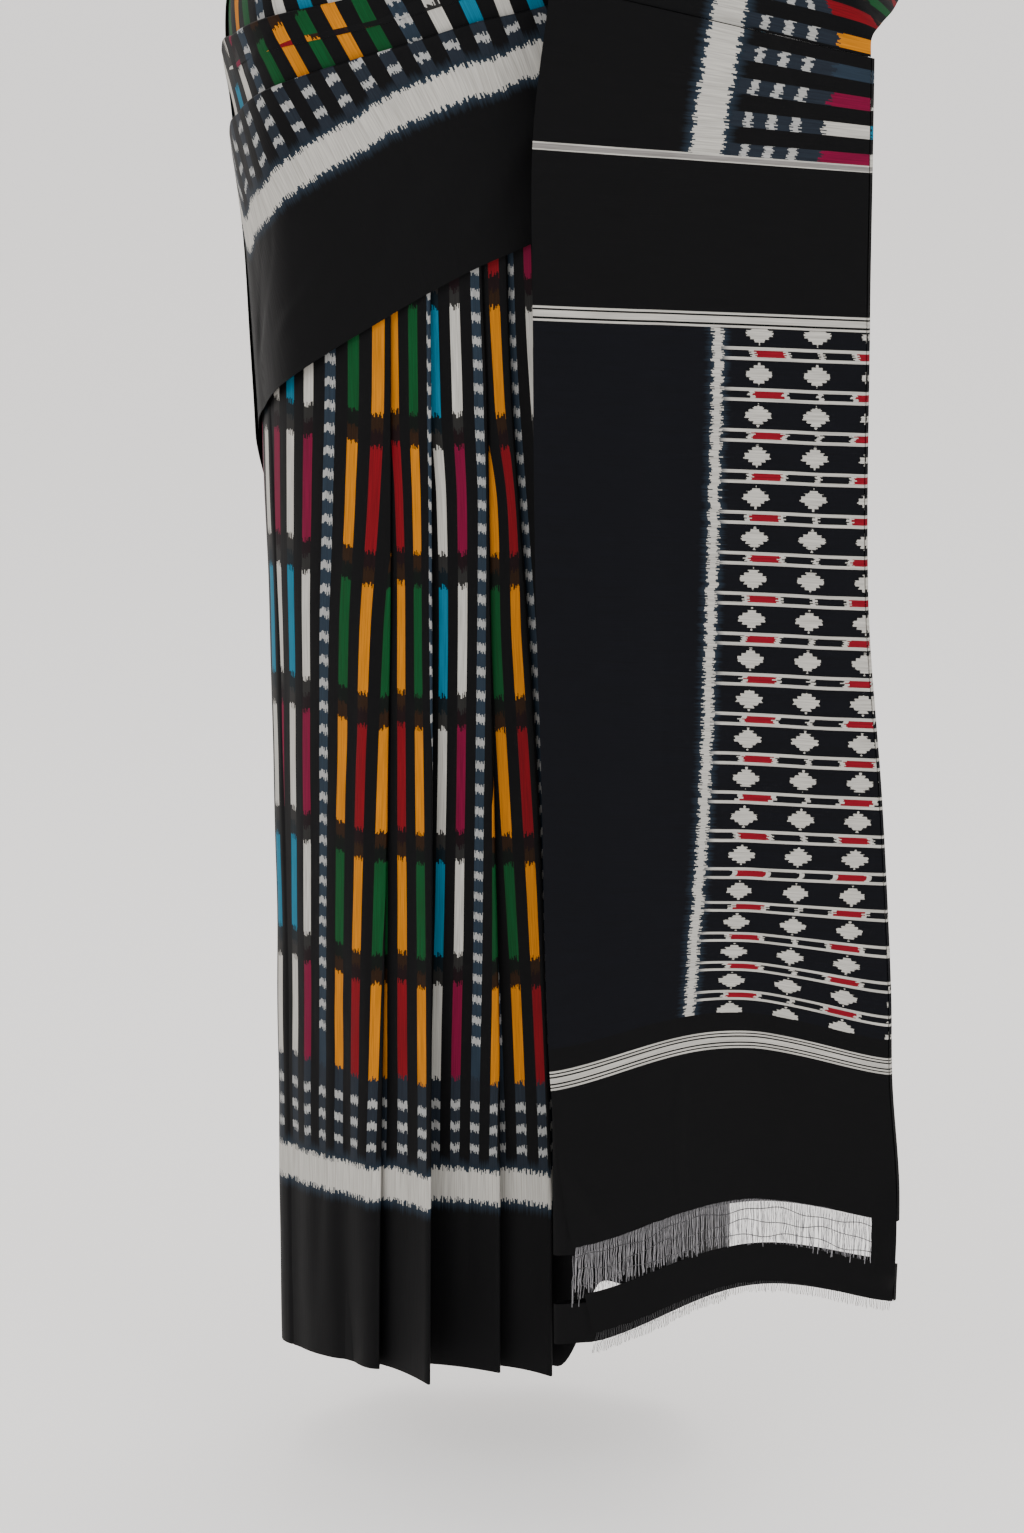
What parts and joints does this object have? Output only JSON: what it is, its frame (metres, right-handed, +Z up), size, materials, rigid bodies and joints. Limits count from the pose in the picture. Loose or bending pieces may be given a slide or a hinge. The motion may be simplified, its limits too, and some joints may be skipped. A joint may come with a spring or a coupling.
{
  "type": "silk saree",
  "caption": "Worn-form black silk saree with weft ikat bars: pleated wrap skirt, diagonal over-wrap in tiers, drape over the left shoulder and a folded end piece hanging in front.",
  "frame": {"origin": "middle of the waist, level with the tucked top edge of the skirt", "axes": "+Z up, the front faces -Y, +X towards the wearer's left"},
  "size_m": [0.4506, 0.3056, 1.445],
  "materials": {
    "ikat_silk": "soft silk sheen",
    "black_silk": "soft silk sheen",
    "loose_threads": "frayed silk threads"
  },
  "bodies": {
    "root": {"inner_wrap": "ikat_silk", "front_pleats": "ikat_silk", "back_wrap": "ikat_silk", "border_tier": "black_silk", "middle_tier": "ikat_silk", "upper_tier": "ikat_silk", "shoulder_drape": "ikat_silk", "back_swing": "ikat_silk", "end_front": "black_silk", "end_folds": "black_silk", "end_fringe": "loose_threads"}
  },
  "joints": []
}
